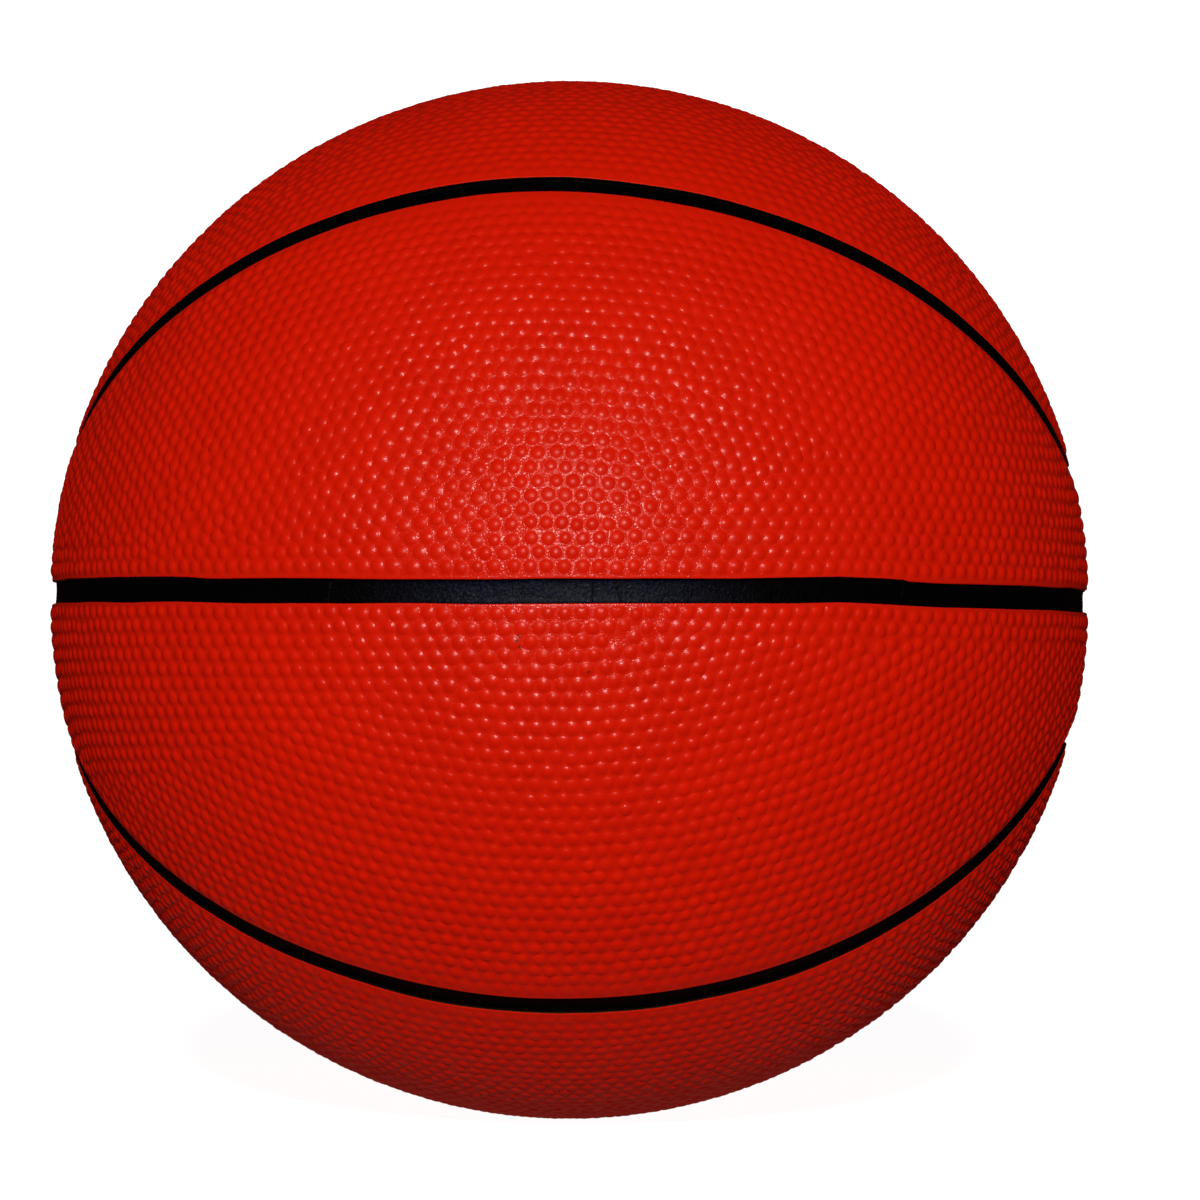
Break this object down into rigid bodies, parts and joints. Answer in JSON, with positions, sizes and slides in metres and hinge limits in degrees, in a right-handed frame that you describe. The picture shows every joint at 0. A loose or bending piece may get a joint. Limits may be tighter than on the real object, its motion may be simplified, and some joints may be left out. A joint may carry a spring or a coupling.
{
  "type": "basketball",
  "caption": "Inflated rubber ball with pebbled cover panels, recessed black channels and a needle valve, for bouncing and throwing.",
  "frame": {"origin": "centre of the ball", "axes": "+Z through the middle of the upper side loop, with the equator channel in the XY plane and the meridian channel in the XZ plane; the pictured front faces -Y and the valve is on the +Y side"},
  "size_m": [0.2428, 0.243, 0.243],
  "materials": {
    "cover_rubber": "satin",
    "channel_rubber": "satin",
    "carcass_rubber": "matte",
    "thread": "matte",
    "bladder_rubber": "satin",
    "patch_rubber": "matte",
    "valve_rubber": "satin",
    "core_rubber": "satin"
  },
  "bodies": {
    "root": {"cap_panel_top_front": "cover_rubber", "cap_panel_top_back": "cover_rubber", "cap_panel_bottom_front": "cover_rubber", "cap_panel_bottom_back": "cover_rubber", "belt_panel_upper_front": "cover_rubber", "belt_panel_upper_back": "cover_rubber", "belt_panel_lower_front": "cover_rubber", "belt_panel_lower_back": "cover_rubber", "equator_strip": "channel_rubber", "upper_loop_strip": "channel_rubber", "lower_loop_strip": "channel_rubber", "upper_meridian_strip": "channel_rubber", "lower_meridian_strip": "channel_rubber", "link_strip_upper_right": "channel_rubber", "link_strip_upper_left": "channel_rubber", "link_strip_lower_right": "channel_rubber", "link_strip_lower_left": "channel_rubber", "carcass": "carcass_rubber", "winding": "thread", "bladder": "bladder_rubber", "valve_patch": "patch_rubber", "valve_housing": "valve_rubber", "valve_core": "core_rubber"}
  },
  "joints": []
}
